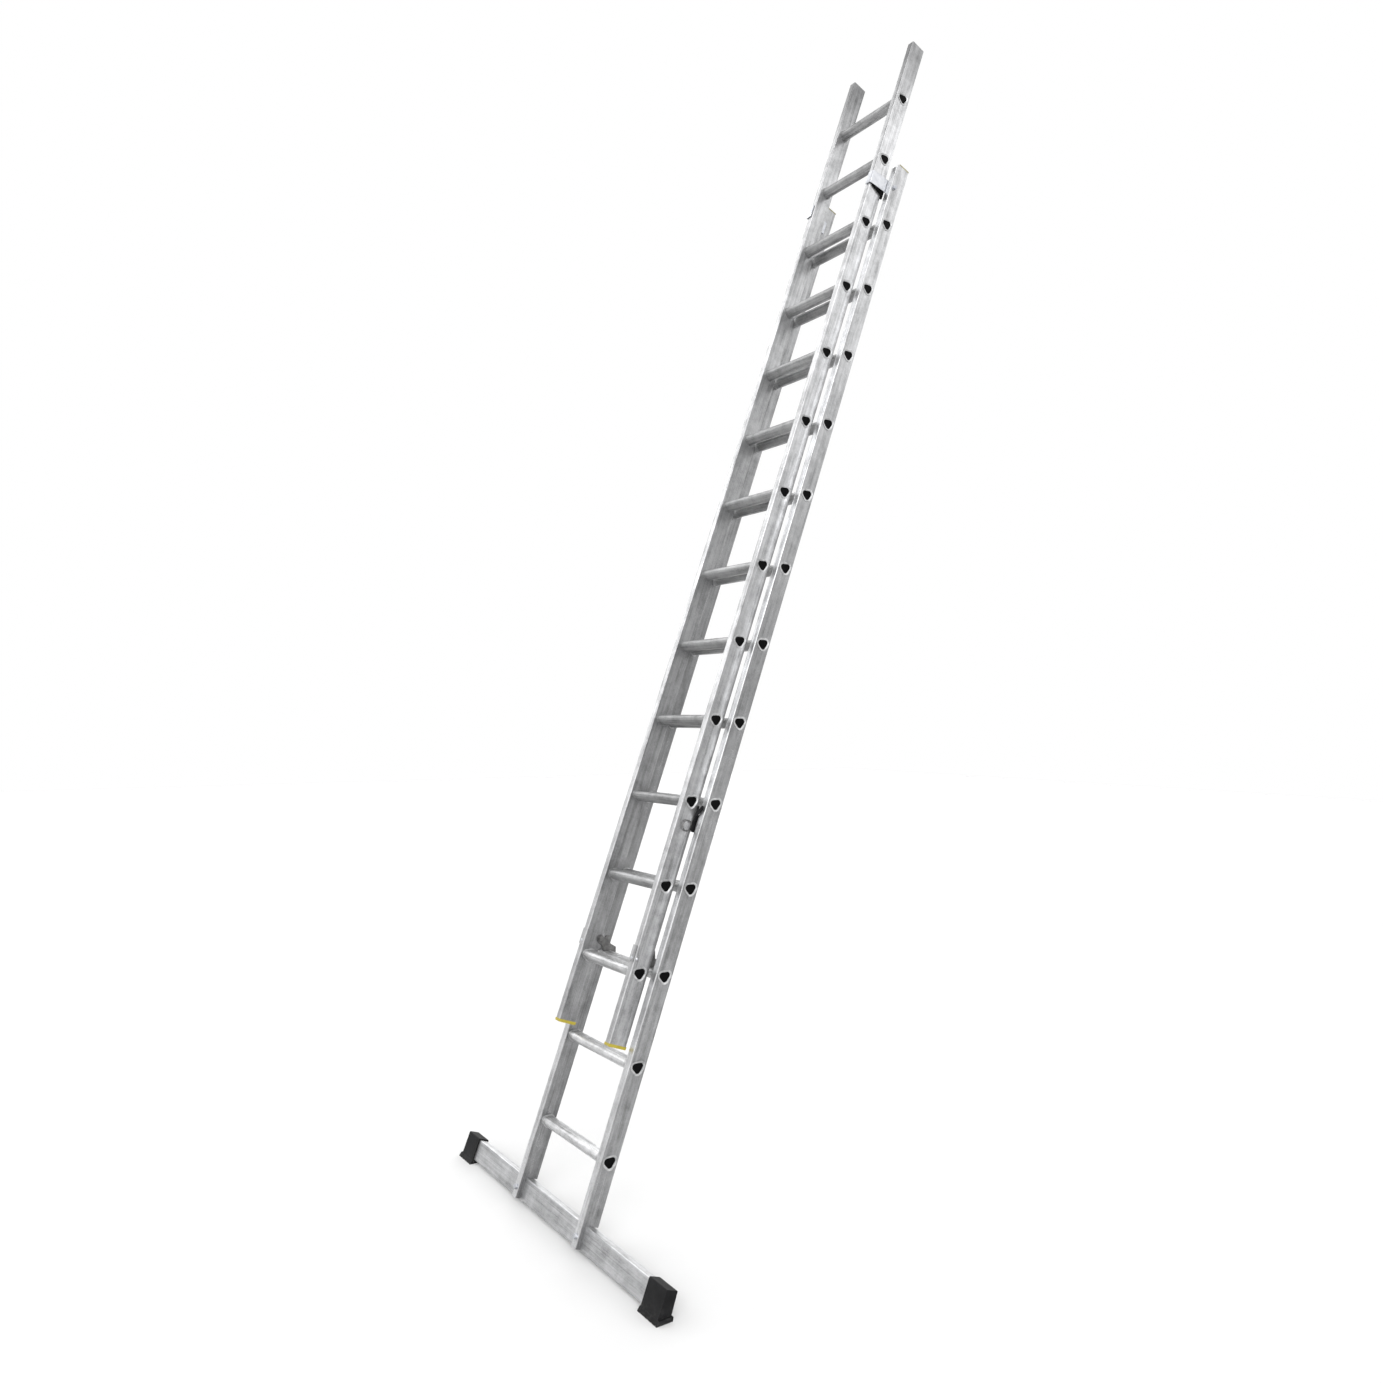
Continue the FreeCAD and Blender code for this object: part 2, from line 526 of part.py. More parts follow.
def rung_hook(sign):
    """A plate with an upright finger grip, that swings on its pin and hangs over and behind a base rung."""
    x1 = sign * (FLY_IN - HOOK_PLATE - HOOK_GAP)
    x0 = x1 - sign * HOOK_THICK
    rest = TREAD_V + HOOK_OFF
    back = SIDE_U + HOOK_OFF
    mouth = [(-12.0, rest), (back, rest), (back, -3.0)]
    nose = [(back + 6.0, -3.0), (back + 10.5, 10.0), (back + 10.5, 24.0), (16.0, 32.0)]
    grip = [(9.0, 38.0), (8.5, 61.0), (-3.5, 61.0), (-8.0, 48.0)]
    lobe = [(-16.0, 64.0), (-31.0, 62.0), (-32.0, 46.0), (-18.0, 34.0)]
    points = [tilt(u, v, BASE_Y, HOOKED_RUNG) for u, v in mouth + nose + grip + lobe]
    radii = [2.0, RUNG_R + HOOK_OFF, 1.0, 3.0, 8.0, 4.0, 4.0, 3.0, 3.0, 3.0, 4.0, 6.0, 8.0, 6.0, 8.0]
    body = across(points, x0, x1, radii)
    return one(body.cut(rod(PIN_R + PIN_CLEAR, x0 - sign, x1 + sign, *HOOK_PIVOT)))


def hook_pin(sign):
    """A headed pin through the hook and its bracket into the stile's inner wall."""
    x_head = sign * (FLY_IN - HOOK_PLATE - 2 * HOOK_GAP - HOOK_THICK)
    shank = rod(PIN_R, x_head - sign * 0.5, sign * (FLY_IN + STILE_WALL), *HOOK_PIVOT)
    head = rod(HOOK_PIN_HEAD_R, x_head - sign * HOOK_PIN_HEAD_H, x_head, *HOOK_PIVOT)
    return one(shank.fuse(head))


def rivet(x, y, s, axis):
    """A domed rivet head lying on a face."""
    ball = Part.makeSphere(RIVET_BALL, V(x, y, s) - axis * RIVET_SUNK)
    keep = Part.makeCylinder(RIVET_R, RIVET_BALL, V(x, y, s), axis)
    return one(ball.common(keep))


for side, sign in SIDES:
    save("hook_bracket_" + side, hook_bracket(sign))
    save("rung_hook_" + side, rung_hook(sign))
save("hook_pins", [hook_pin(sign) for _, sign in SIDES])
save("hook_bracket_rivets",
     [rivet(sign * (FLY_IN + FLY_STILE_W * 0.45), fly_y0 - HOOK_PLATE, RIVET_S, V(0, -1, 0))
      for _, sign in SIDES] +
     [rivet(sign * FLY_HALF, fly_y0 + 8, RIVET_S, V(sign, 0, 0)) for _, sign in SIDES])


# ---------------------------------------------------------------- side catch, on the right fly stile
def catch_housing():
    body = across([(CATCH_Y0, CATCH_S0), (CATCH_Y1, CATCH_S0), (CATCH_Y1, CATCH_S1), (CATCH_Y0, CATCH_S1)],
                  CATCH_X0, CATCH_X1, [0, 2.0, 2.0, 0])
    return one(body.cut(rod(CATCH_PIN_R, CATCH_X1 - CATCH_PIN_DEEP, CATCH_X1 + 1, *CATCH_PIVOT)))


def catch_pin():
    x_head = LEVER_X1 + CATCH_HEAD_GAP
    shank = rod(CATCH_PIN_R, CATCH_X1 - CATCH_PIN_DEEP, x_head + 0.3, *CATCH_PIVOT)
    head = rod(CATCH_HEAD_R, x_head, x_head + CATCH_HEAD_H, *CATCH_PIVOT)
    return one(shank.fuse(head))


def catch_lever():
    """A plate on a pin: a claw under a base rung's front, and a thumb tab in front of the base stile."""
    py, ps = CATCH_PIVOT
    body = [(py - 9.0, ps - 33.0), (py + 3.5, ps - 33.0), (py + 3.5, ps + 9.0)]
    claw = [(py + 13.0, ps + 12.0), (py + 15.5, ps + 44.0), (py + 9.5, ps + 46.0), (py + 7.5, ps + 20.0)]
    arm = [(py - 3.5, ps + 19.0), (py - 4.5, ps + 44.0), (py - 9.0, ps + 44.0)]
    radii = [2.0, 2.0, 4.0, 6.0, 2.5, 2.5, 6.0, 4.0, 2.0, 2.0]
    plate = across(body + claw + arm, LEVER_X0, LEVER_X1, radii)
    rise = [(LEVER_X0, ps + 12.0), (LEVER_X0 + 5.0, ps + 11.0), (TAB_X, ps + 36.0), (TAB_X, ps + 45.0),
            (TAB_X - 6.0, ps + 45.0), (LEVER_X0, ps + 22.0)]
    wire = corner_wire(rise, [0, 2.0, 4.0, 2.0, 2.0, 0], lambda x, s: V(x, TAB_Y0, s))
    tab = Part.Face(wire).extrude(V(0, TAB_Y1 - TAB_Y0, 0))
    lever = plate.fuse(tab).cut(rod(CATCH_PIN_R + PIN_CLEAR, LEVER_X0 - 1, LEVER_X1 + 1, py, ps))
    return one(lever.removeSplitter())


def catch_loop():
    """The finger loop: a wire bent round beside the stile, let into the lever's lower end."""
    yc, sc = LOOP_CENTRE
    x = (LEVER_X0 + LEVER_X1) / 2

    def at(deg):
        a = math.radians(deg)
        return V(x, yc + LOOP_R * math.cos(a), sc + LOOP_R * math.sin(a))

    end = V(x, CATCH_PIVOT[0] - 4.0, CATCH_PIVOT[1] - 28.0)
    bow = Part.Arc(at(LOOP_FROM), at((LOOP_FROM + LOOP_TO) / 2), at(LOOP_TO)).toShape()
    arm = Part.LineSegment(at(LOOP_TO), end).toShape()
    path = Part.Wire([bow, arm])
    turned = math.radians(LOOP_FROM)
    start = at(LOOP_FROM)
    circle = Part.Wire([Part.makeCircle(LOOP_WIRE_R, start, V(0, -math.sin(turned), math.cos(turned)))])
    return one(path.makePipeShell([circle], True, True, 2))


loop = catch_loop()
save("catch_housing", catch_housing())
save("catch_pin", catch_pin())
save("catch_lever", one(catch_lever().cut(loop)))
save("catch_loop", loop)
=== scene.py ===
import json
import math

import bpy
from mathutils import Matrix, Vector


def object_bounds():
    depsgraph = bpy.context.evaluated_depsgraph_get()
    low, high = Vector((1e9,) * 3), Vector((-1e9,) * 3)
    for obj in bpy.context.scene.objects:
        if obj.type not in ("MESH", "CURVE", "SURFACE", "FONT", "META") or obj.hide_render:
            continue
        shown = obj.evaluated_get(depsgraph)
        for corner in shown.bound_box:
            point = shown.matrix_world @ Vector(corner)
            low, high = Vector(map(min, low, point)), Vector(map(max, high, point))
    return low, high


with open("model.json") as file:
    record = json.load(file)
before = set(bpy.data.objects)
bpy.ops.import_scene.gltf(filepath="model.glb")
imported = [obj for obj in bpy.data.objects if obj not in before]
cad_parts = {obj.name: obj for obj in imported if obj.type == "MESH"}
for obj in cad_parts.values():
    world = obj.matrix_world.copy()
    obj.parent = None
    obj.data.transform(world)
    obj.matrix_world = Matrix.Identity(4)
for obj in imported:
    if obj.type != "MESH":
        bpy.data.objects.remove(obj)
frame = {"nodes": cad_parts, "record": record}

cad_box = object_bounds()
nodes = frame["nodes"]

# The photograph's camera, in metres and in the frame's axes.
CAMERA_AT = Vector((2.6435, -1.3769, 1.3999))
CAMERA_AZIMUTH = 55.10       # turned from +Y towards -X, degrees
CAMERA_ELEVATION = 1.56
CAMERA_ROLL = 0.42
CAMERA_LENS = 27.44          # mm
CAMERA_SENSOR = 36.0         # mm
CAMERA_REACH = 100.0         # m, past the far edge of the floor

FLOOR_SIZE = 40.0            # m
FLOOR_DARK, FLOOR_PALE = (0.66, 0.66, 0.66), (0.68, 0.68, 0.68)
SIDE_LIGHT_AT, SIDE_LIGHT_TO = (-3.5, -4.0, 4.2), (0.0, 0.5, 1.9)
SIDE_LIGHT_SIZE, SIDE_LIGHT_POWER = 3.0, 40.0        # m square, W

LEAN = math.radians(20.0)
# Where the stiles' upper end is, how far below it the metal is darker and how much; then the painted shade
# on the inner faces, towards the rungs.
LADDER_TOP = cad_box[1][1] * math.sin(LEAN) + cad_box[1][2] * math.cos(LEAN)
END_DARK_FROM, END_DARK_TO, END_DARK = 0.30, 0.05, 0.44
INNER_SHADE = 0.80
# Painted light: the stiles are painted brighter from the foot of the ladder to its top, and the base's
# front faces, which the fly stile shades, are painted bright: metres up it, then the levels at both.
SIDES = (1.5, 3.0, 0.72, 1.12)
FLY_FRONT = (1.0, 2.0, 0.84, 0.90)
BASE_FRONT = (0.95, 1.45, 1.35, 1.55)
# Painted light: between the stiles, the rungs are painted brightest at the foot of the ladder and darker
# higher up.
RUNG_LIT_TO, RUNG_SHADED_FROM = 0.55, 1.05
RUNG_LIT, RUNG_SHADED, RIM = 1.35, 0.74, 1.05
BETWEEN_TO, BETWEEN_FROM = 0.145, 0.150      # m either side of the middle

# An extrusion's noise per metre, across it and along it: fine die lines, and the broader bands among them.
DIE_LINES, DIE_BANDS = (900.0, 2.5), (70.0, 5.0)
DARKER, PALER = 0.54, 1.38   # its darkest and palest marks against its own tone
LENGTHWISE = {"across": 0, "stile": 2}       # the axis that each kind of extrusion runs along
FACING_IN, FACING_PAST = -0.9, -0.5          # how far a face turns inward to get painted shade, and where that ends
EDGE_FLAT, EDGE_SHARP = 0.995, 0.85          # cosines of a bevelled normal with the face's own
DUST_HEIGHT = 0.045          # m above the floor


# ---------------------------------------------------------------- node-tree helpers
class Graph:
    """A small wrapper that adds and links the nodes of a material or a world."""

    def __init__(self, owner):
        owner.use_nodes = True
        self.tree = owner.node_tree
        self.tree.nodes.clear()

    def add(self, kind, **values):
        node = self.tree.nodes.new(kind)
        for key, value in values.items():
            setattr(node, key, value)
        return node

    def link(self, source, target):
        self.tree.links.new(source, target)

    def put(self, socket, value):
        """Sets a socket, or links it when value is another node's output."""
        if isinstance(value, bpy.types.NodeSocket):
            self.link(value, socket)
        else:
            socket.default_value = value

    def split(self, vector):
        node = self.add("ShaderNodeSeparateXYZ")
        self.link(vector, node.inputs[0])
        return node.outputs

    def dot(self, a, b):
        node = self.add("ShaderNodeVectorMath", operation="DOT_PRODUCT")
        self.put(node.inputs[0], a)
        self.put(node.inputs[1], b)
        return node.outputs["Value"]

    def normal(self):
        return self.add("ShaderNodeNewGeometry").outputs["Normal"]

    def coords(self):
        return self.add("ShaderNodeTexCoord").outputs["Object"]

    def ladder_axes(self, scale=(1.0, 1.0, 1.0)):
        """Object coordinates turned so that Z runs up the stiles, then scaled."""
        turn = self.add("ShaderNodeMapping", vector_type="POINT")
        turn.inputs["Rotation"].default_value = (LEAN, 0.0, 0.0)
        self.link(self.coords(), turn.inputs["Vector"])
        stretch = self.add("ShaderNodeMapping", vector_type="POINT")
        stretch.inputs["Scale"].default_value = scale
        self.link(turn.outputs["Vector"], stretch.inputs["Vector"])
        return stretch.outputs["Vector"]

    def noise(self, vector, scale, detail=3.0, rough=0.5):
        node = self.add("ShaderNodeTexNoise")
        self.link(vector, node.inputs["Vector"])
        node.inputs["Scale"].default_value = scale
        node.inputs["Detail"].default_value = detail
        node.inputs["Roughness"].default_value = rough
        return node.outputs["Fac"]

    def math(self, operation, a, b=0.0, clamp=False):
        node = self.add("ShaderNodeMath", operation=operation, use_clamp=clamp)
        self.put(node.inputs[0], a)
        self.put(node.inputs[1], b)
        return node.outputs["Value"]

    def weighted(self, *shares):
        """The sum of (value, weight) pairs."""
        total = None
        for value, weight in shares:
            share = self.math("MULTIPLY", value, weight)
            total = share if total is None else self.math("ADD", total, share)
        return total

    def spread(self, value, low, high, to_low, to_high, curve="LINEAR"):
        """Maps low..high to to_low..to_high and holds both ends."""
        node = self.add("ShaderNodeMapRange", interpolation_type=curve)
        self.link(value, node.inputs["Value"])
        limits = {"From Min": low, "From Max": high, "To Min": to_low, "To Max": to_high}
        for name, number in limits.items():
            node.inputs[name].default_value = number
        return node.outputs["Result"]

    def ramp(self, value, stops):
        node = self.add("ShaderNodeValToRGB")
        self.link(value, node.inputs["Fac"])
        marks = node.color_ramp.elements
        while len(marks) < len(stops):
            marks.new(0.5)
        for mark, (place, colour) in zip(marks, stops):
            mark.position = place
            mark.color = (*colour, 1.0)
        return node.outputs["Color"]

    def mix(self, factor, a, b, blend="MIX"):
        node = self.add("ShaderNodeMix", data_type="RGBA", blend_type=blend)
        self.put(node.inputs["Factor"], factor)
        for name, value in (("A", a), ("B", b)):
            socket = next(s for s in node.inputs if s.name == name and s.type == "RGBA")
            self.put(socket, value if isinstance(value, bpy.types.NodeSocket) else (*value, 1.0))
        return next(s for s in node.outputs if s.type == "RGBA")

    def painted_stile_light(self, front):
        """A grey multiplier of painted light and shade: a stile is painted darker low down and brighter
        high up, with painted shade on its inner faces towards the rungs, and it is darker at its upper end.
        """
        facing_x = self.split(self.normal())["X"]
        side_of_ladder = self.math("SIGN", self.split(self.coords())["X"])
        up = self.split(self.ladder_axes())["Z"]
        # Painted light: brighter up the ladder, with its own levels for the front faces.
        on_front, on_side = (self.spread(up, *levels) for levels in (front, SIDES))
        sideways = self.math("ABSOLUTE", facing_x)
        step = self.math("SUBTRACT", on_side, on_front)
        height = self.math("ADD", on_front, self.math("MULTIPLY", sideways, step))
        # Painted shade on the faces that turn inward, towards the rungs.
        outward = self.math("MULTIPLY", facing_x, side_of_ladder)
        inner_shade = self.spread(outward, FACING_IN, FACING_PAST, INNER_SHADE, 1.0)
        # Darker towards the stiles' upper end.
        end = self.spread(up, LADDER_TOP - END_DARK_FROM, LADDER_TOP - END_DARK_TO, 1.0, END_DARK)
        return self.grey(self.math("MULTIPLY", self.math("MULTIPLY", inner_shade, end), height))

    def painted_rung_light(self):
        """A grey multiplier of painted light: between the stiles, the lowest rungs are painted brightest
        and the higher ones darker.
        """
        ladder = self.split(self.ladder_axes())
        between = self.spread(self.math("ABSOLUTE", ladder["X"]), BETWEEN_TO, BETWEEN_FROM, 1.0, 0.0)
        # Painted light: brightest at the foot of the ladder, darker higher up.
        painted_light = self.spread(ladder["Z"], RUNG_LIT_TO, RUNG_SHADED_FROM, RUNG_LIT - RIM, RUNG_SHADED - RIM)
        return self.grey(self.math("ADD", self.math("MULTIPLY", painted_light, between), RIM))

    def grey(self, value):
        colour = self.add("ShaderNodeCombineColor")
        for channel in ("Red", "Green", "Blue"):
            self.link(value, colour.inputs[channel])
        return colour.outputs["Color"]

    def edge_wear(self, reach):
        """0 on flat faces, towards 1 where an edge is sharp, from a bevelled normal."""
        bevel = self.add("ShaderNodeBevel", samples=4)
        bevel.inputs["Radius"].default_value = reach
        turned = self.dot(bevel.outputs["Normal"], self.normal())
        return self.spread(turned, EDGE_FLAT, EDGE_SHARP, 0.0, 1.0)

    def bump(self, height, distance, strength):
        node = self.add("ShaderNodeBump")
        node.inputs["Strength"].default_value = strength
        node.inputs["Distance"].default_value = distance
        self.link(height, node.inputs["Height"])
        return node.outputs["Normal"]


class Finish(Graph):
    """The graph of one material, round a Principled shader."""

    def __init__(self, name):
        self.material = bpy.data.materials.new(name)
        super().__init__(self.material)
        self.shader = self.add("ShaderNodeBsdfPrincipled")
        self.link(self.shader.outputs["BSDF"], self.add("ShaderNodeOutputMaterial").inputs["Surface"])

    def done(self, **sockets):
        for name, value in sockets.items():
            self.put(self.shader.inputs[name.replace("_", " ")], value)
        return self.material


# ---------------------------------------------------------------- materials
def extrusion(name, along, tone, rough=(0.30, 0.46), wear_and_painted_light=None):
    """Mill-finish aluminium, its die lines running up the ladder ('stile') or along X ('across').

    wear is None, "trodden" for painted light on the rungs, or the levels of painted light and shade that
    handled() takes for the front faces.
    """
    g = Finish(name)

    def drawn(across, lengthwise, detail):
        scale = [across] * 3
        scale[LENGTHWISE[along]] = lengthwise
        return g.noise(g.ladder_axes(scale), 1.0, detail, rough=0.6)

    die = drawn(*DIE_LINES, detail=2.0)
    band = drawn(*DIE_BANDS, detail=4.0)
    cloud = g.noise(g.coords(), 26.0, detail=5.0, rough=0.65)
    mottle = g.noise(g.coords(), 300.0, detail=3.0, rough=0.7)
    shade = g.weighted((die, 0.24), (band, 0.34), (cloud, 0.26), (mottle, 0.16))
    dark, pale = (tuple(channel * step for channel in tone) for step in (DARKER, PALER))
    colour = g.ramp(shade, [(0.39, dark), (0.50, tone), (0.61, pale)])
    # Painted light and shade, multiplied into the colour.
    if wear_and_painted_light is not None:
        grey = g.painted_rung_light() if wear_and_painted_light == "painted_rung_light" else g.painted_stile_light(wear_and_painted_light)
        colour = g.mix(1.0, colour, grey, blend="MULTIPLY")
    scratch = g.noise(g.coords(), 420.0, detail=2.0, rough=0.8)
    normal = g.bump(g.weighted((die, 0.6), (scratch, 0.4)), distance=0.0006, strength=0.3)
    smooth, coarse = rough
    roughness = g.spread(shade, 0.38, 0.62, coarse, smooth)
    return g.done(Base_Color=colour, Metallic=0.92, Roughness=roughness, Anisotropic=0.3, Normal=normal)


def zinc(name):
    """Bright zinc plate, faintly blue, with a fine grain and a soft haze."""
    g = Finish(name)
    fine = g.noise(g.coords(), 700.0, detail=3.0, rough=0.6)
    haze = g.noise(g.coords(), 45.0, detail=4.0, rough=0.6)
    shade = g.weighted((haze, 0.7), (fine, 0.3))
    colour = g.ramp(shade, [(0.35, (0.38, 0.39, 0.415)), (0.55, (0.52, 0.53, 0.555)),
                            (0.75, (0.62, 0.625, 0.64))])
    rough = g.spread(shade, 0.3, 0.7, 0.42, 0.26)
    normal = g.bump(fine, distance=0.0004, strength=0.25)
    return g.done(Base_Color=colour, Metallic=1.0, Roughness=rough, Normal=normal)


def dull_steel(name):
    """Pressed steel whose zinc plate has gone dull, greyer where it is handled least."""
    g = Finish(name)
    stain = g.noise(g.coords(), 70.0, detail=5.0, rough=0.65)
    fine = g.noise(g.coords(), 650.0, detail=3.0, rough=0.6)
    shade = g.weighted((stain, 0.7), (fine, 0.3))
    base = g.ramp(shade, [(0.36, (0.10, 0.10, 0.10)), (0.52, (0.17, 0.168, 0.166)),
                          (0.68, (0.25, 0.248, 0.245))])
    colour = g.mix(g.math("MULTIPLY", g.edge_wear(reach=0.0006), 0.5), base, (0.34, 0.335, 0.33))
    rough = g.spread(shade, 0.3, 0.7, 0.55, 0.38)
    normal = g.bump(fine, distance=0.0004, strength=0.3)
    return g.done(Base_Color=colour, Metallic=0.9, Roughness=rough, Normal=normal)


def powder(name):
    """Black powder coat with orange peel, rubbed to steel at its sharpest edges."""
    g = Finish(name)
    peel = g.noise(g.coords(), 900.0, detail=2.0, rough=0.5)
    haze = g.noise(g.coords(), 60.0, detail=3.0, rough=0.6)
    patches = g.spread(haze, 0.52, 0.66, 0.0, 1.0)
    chips = g.math("MULTIPLY", g.edge_wear(reach=0.0008), patches, clamp=True)
    coat = g.ramp(haze, [(0.3, (0.004, 0.004, 0.0045)), (0.7, (0.010, 0.010, 0.011))])
    colour = g.mix(chips, coat, (0.20, 0.20, 0.205))
    rough = g.spread(peel, 0.3, 0.7, 0.38, 0.52)
    normal = g.bump(peel, distance=0.0005, strength=0.3)
    return g.done(Base_Color=colour, Metallic=0.0, Roughness=rough, Specular_IOR_Level=0.12, Normal=normal)


def moulded(name, dark, light, rough, grain, gloss):
    """Injection-moulded plastic with a spark-eroded grain, paler where handled at its edges."""
    g = Finish(name)
    fine = g.noise(g.coords(), grain, detail=4.0, rough=0.6)
    haze = g.noise(g.coords(), 30.0, detail=4.0, rough=0.6)
    base = g.ramp(haze, [(0.32, dark), (0.68, light)])
    rubbed = tuple(channel * 1.5 + 0.006 for channel in light)
    colour = g.mix(g.math("MULTIPLY", g.edge_wear(reach=0.0010), 0.35), base, rubbed)
    roughness = g.spread(fine, 0.3, 0.7, *rough)
    normal = g.bump(fine, distance=0.0005, strength=0.3)
    return g.done(Base_Color=colour, Metallic=0.0, Roughness=roughness, Specular_IOR_Level=gloss,
                  Normal=normal)


def rubber(name):
    """Moulded rubber: near black, dusty on its lower edges, softly grained."""
    g = Finish(name)
    fine = g.noise(g.coords(), 600.0, detail=4.0, rough=0.65)
    haze = g.noise(g.coords(), 22.0, detail=5.0, rough=0.6)
    scuff = g.noise(g.coords(), 130.0, detail=3.0, rough=0.7)
    near_floor = g.spread(g.split(g.coords())["Z"], 0.0, DUST_HEIGHT, 1.0, 0.0)
    dust = g.math("MULTIPLY", near_floor, g.spread(scuff, 0.45, 0.7, 0.0, 0.7), clamp=True)
    wear_and_painted_light = g.math("MULTIPLY", g.edge_wear(reach=0.0016), 0.3)
    base = g.ramp(haze, [(0.3, (0.003, 0.003, 0.0034)), (0.7, (0.010, 0.010, 0.011))])
    colour = g.mix(wear_and_painted_light, g.mix(dust, base, (0.04, 0.039, 0.037)), (0.06, 0.06, 0.063))
    rough = g.spread(fine, 0.3, 0.7, 0.55, 0.78)
    normal = g.bump(fine, distance=0.0006, strength=0.35)
    return g.done(Base_Color=colour, Metallic=0.0, Roughness=rough, Specular_IOR_Level=0.16, Normal=normal)


# The stiles and rungs get painted light and shade through their last argument.
FLY_STILE = extrusion("fly_aluminium", "stile", (0.465, 0.467, 0.473), wear_and_painted_light=FLY_FRONT)
STILE = extrusion("stile_aluminium", "stile", (0.405, 0.407, 0.412), rough=(0.24, 0.40), wear_and_painted_light=BASE_FRONT)
CROSS = extrusion("bar_aluminium", "across", (0.43, 0.433, 0.44))
RUNG = extrusion("rung_aluminium", "across", (0.42, 0.422, 0.425), rough=(0.46, 0.62), wear_and_painted_light="painted_rung_light")
ZINC = zinc("zinc_plate")
DULL_STEEL = dull_steel("dull_zinc_steel")
BLACK_STEEL = powder("black_powder_coat")
# Near-black plastic, darker than real black plastic: partly the plastic's own colour, partly painted shade
# in the rung ends and under the guide brackets.
BLACK_PLASTIC_AND_SHADE = moulded("black_plastic", (0.001, 0.001, 0.001), (0.003, 0.003, 0.0033),
                        rough=(0.50, 0.70), grain=900.0, gloss=0.05)
YELLOW = moulded("yellow_plastic", (0.30, 0.24, 0.018), (0.38, 0.31, 0.04),
                 rough=(0.38, 0.54), grain=700.0, gloss=0.4)
# A darker, olive yellow for the base top caps.
OLIVE_YELLOW = moulded("olive_yellow_plastic", (0.17, 0.15, 0.05), (0.25, 0.22, 0.09),
                rough=(0.45, 0.60), grain=700.0, gloss=0.3)
RUBBER = rubber("black_rubber")

FINISHES = {
    "aluminium_extrusion": STILE,
    "aluminium_rung": RUNG,
    "zinc_steel": ZINC,
    "dull_steel": DULL_STEEL,
    "black_steel": BLACK_STEEL,
    "black_plastic": BLACK_PLASTIC_AND_SHADE,
    "black_rubber": RUBBER,
    "yellow_plastic": YELLOW,
}
slots = {part["node"]: part["material_slot"] for part in frame["record"]["subparts"]}
for name, piece in nodes.items():
    finish = FINISHES[slots[name]]
    if name == "stabiliser_bar":
        finish = CROSS
    elif name.startswith(("fly_stile", "hook_bracket_left", "hook_bracket_right")):
        finish = FLY_STILE
    elif name.startswith("base_top_cap"):
        finish = OLIVE_YELLOW
    if not piece.material_slots:
        piece.data.materials.append(finish)
    for held in piece.material_slots:
        held.material = finish


# ---------------------------------------------------------------- floor, light, camera
def floor():
    bpy.ops.mesh.primitive_plane_add(size=FLOOR_SIZE, location=(0.0, 0.0, 0.0))
    plane = bpy.context.object
    plane.name = "studio_floor"
    g = Finish("studio_paper")
    grain = g.noise(g.coords(), 3.0)
    colour = g.ramp(grain, [(0.3, FLOOR_DARK), (0.7, FLOOR_PALE)])
    plane.data.materials.append(g.done(Base_Color=colour, Roughness=0.9))


def soft_light(name, at, target, size, power):
    data = bpy.data.lights.new(name, "AREA")
    data.shape = "RECTANGLE"
    data.size, data.size_y, data.energy = size, size, power
    lamp = bpy.data.objects.new(name, data)
    bpy.context.scene.collection.objects.link(lamp)
    lamp.location = at
    lamp.rotation_euler = (Vector(target) - Vector(at)).to_track_quat("-Z", "Y").to_euler()


# Brightness of the studio round the ladder against the sine of the height it is seen at: dim at the
# horizon, a wide band of soft boxes above it, and a darker ceiling. Two large boxes stand out of the band.
STUDIO_BANDS = [(0.0, 0.75), (0.09, 0.78), (0.19, 1.0), (0.34, 1.3), (0.50, 1.6), (0.707, 1.55),
                (0.766, 0.90), (0.84, 0.45), (1.0, 0.25)]
BAND_SCALE = 2.0             # the ramp holds each level divided by this
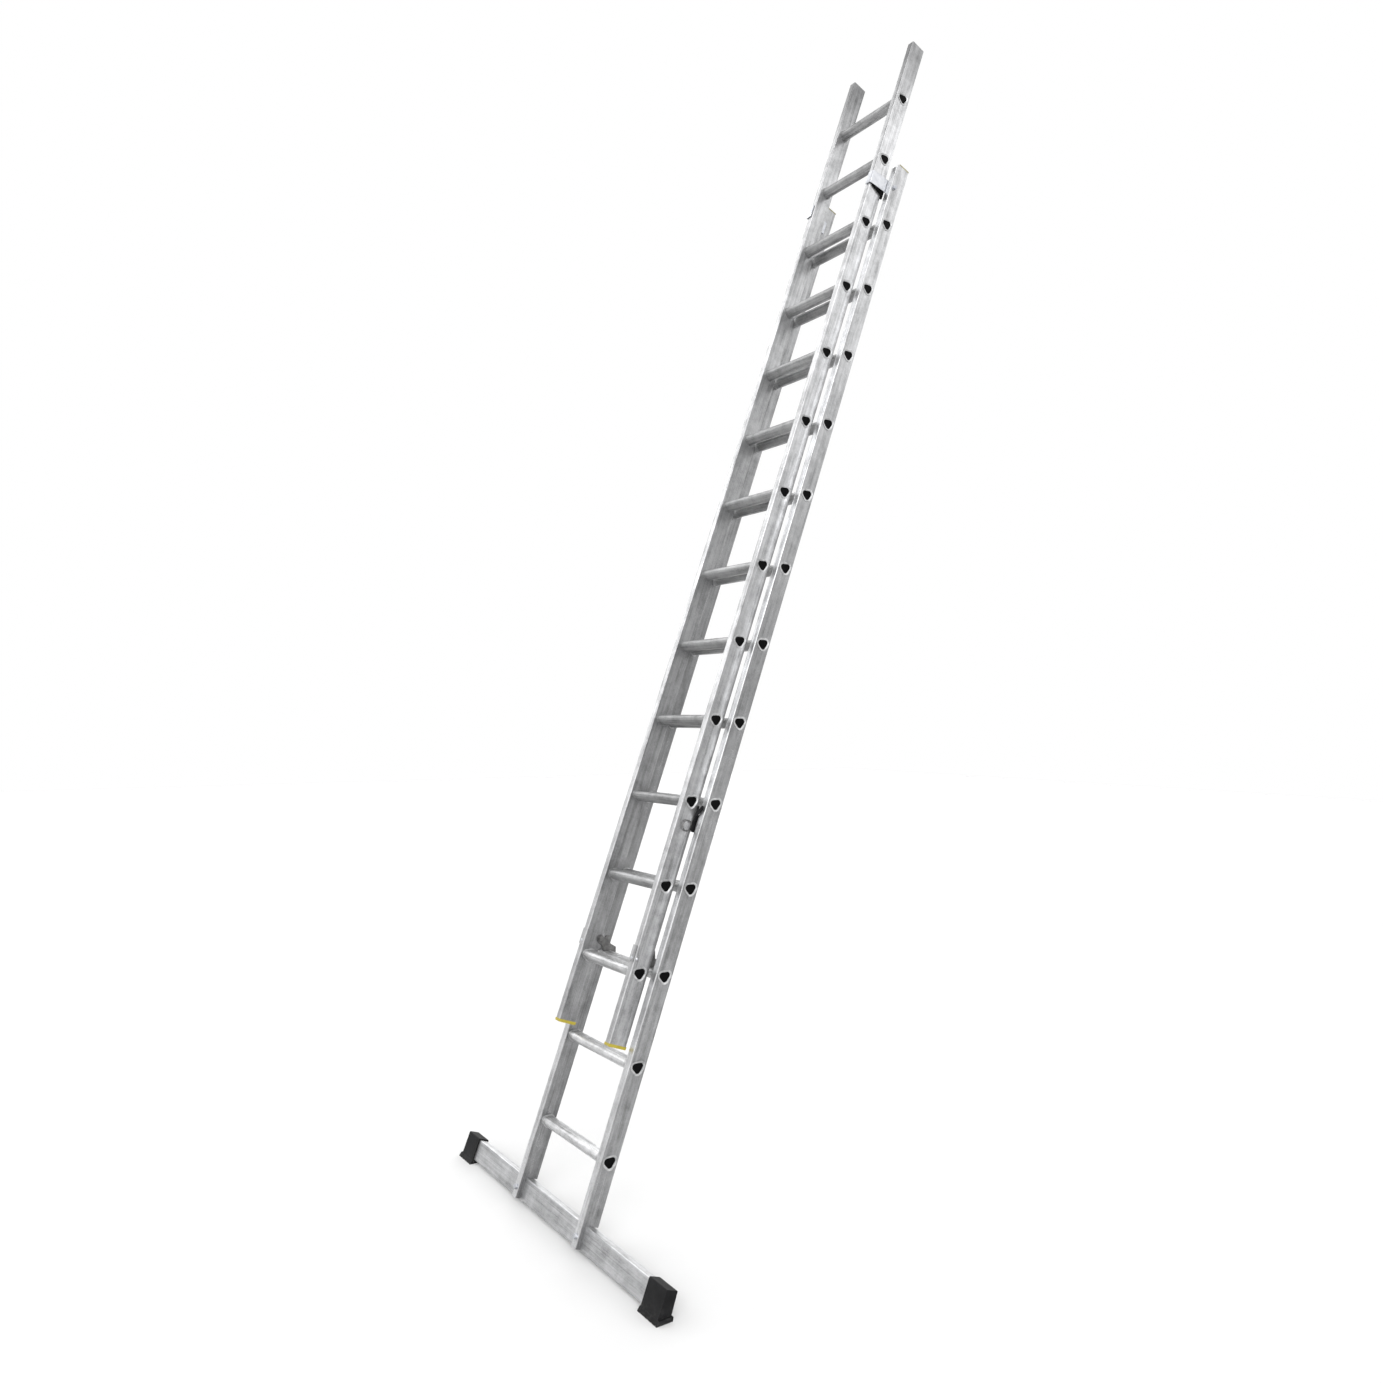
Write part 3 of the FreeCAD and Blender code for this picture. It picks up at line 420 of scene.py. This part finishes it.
# Each box: its direction, the cosines where it starts and is full, and how much brighter it is.
BOXES = [((0.80, -0.44, 0.41), 0.76, 0.96, 3.2), ((-0.86, 0.22, 0.45), 0.70, 0.95, 2.1)]
BACKDROP = (1.0, 1.0, 1.0)


def surroundings():
    """Lights the ladder with the studio, and shows the camera a plain backdrop."""
    world = bpy.data.worlds.new("studio")
    g = Graph(world)
    direction = g.add("ShaderNodeTexCoord").outputs["Generated"]
    bands = g.ramp(g.split(direction)["Z"],
                   [(rise, [level / BAND_SCALE] * 3) for rise, level in STUDIO_BANDS])
    gain = BAND_SCALE
    for toward, edge, full, brighter in BOXES:
        box = g.spread(g.dot(direction, toward), edge, full, 1.0, brighter, curve="SMOOTHSTEP")
        gain = g.math("MULTIPLY", box, gain)
    lit, seen = g.add("ShaderNodeBackground"), g.add("ShaderNodeBackground")
    g.put(lit.inputs["Color"], bands)
    g.put(lit.inputs["Strength"], gain)
    g.put(seen.inputs["Color"], (*BACKDROP, 1.0))
    choose = g.add("ShaderNodeMixShader")
    g.link(g.add("ShaderNodeLightPath").outputs["Is Camera Ray"], choose.inputs["Fac"])
    g.link(lit.outputs[0], choose.inputs[1])
    g.link(seen.outputs[0], choose.inputs[2])
    g.link(choose.outputs[0], g.add("ShaderNodeOutputWorld").inputs["Surface"])
    bpy.context.scene.world = world


def studio():
    floor()
    surroundings()
    soft_light("side", SIDE_LIGHT_AT, SIDE_LIGHT_TO, SIDE_LIGHT_SIZE, SIDE_LIGHT_POWER)


def camera():
    data = bpy.data.cameras.new("camera")
    data.lens, data.sensor_width = CAMERA_LENS, CAMERA_SENSOR
    data.clip_end = CAMERA_REACH
    eye = bpy.data.objects.new("camera", data)
    bpy.context.scene.collection.objects.link(eye)
    turn, lift, roll = map(math.radians, (CAMERA_AZIMUTH, CAMERA_ELEVATION, CAMERA_ROLL))
    eye.matrix_world = (Matrix.Translation(CAMERA_AT) @ Matrix.Rotation(turn, 4, "Z")
                        @ Matrix.Rotation(math.pi / 2 + lift, 4, "X") @ Matrix.Rotation(roll, 4, "Z"))
    bpy.context.scene.camera = eye


studio()
camera()
bpy.context.scene.view_settings.view_transform = "Standard"
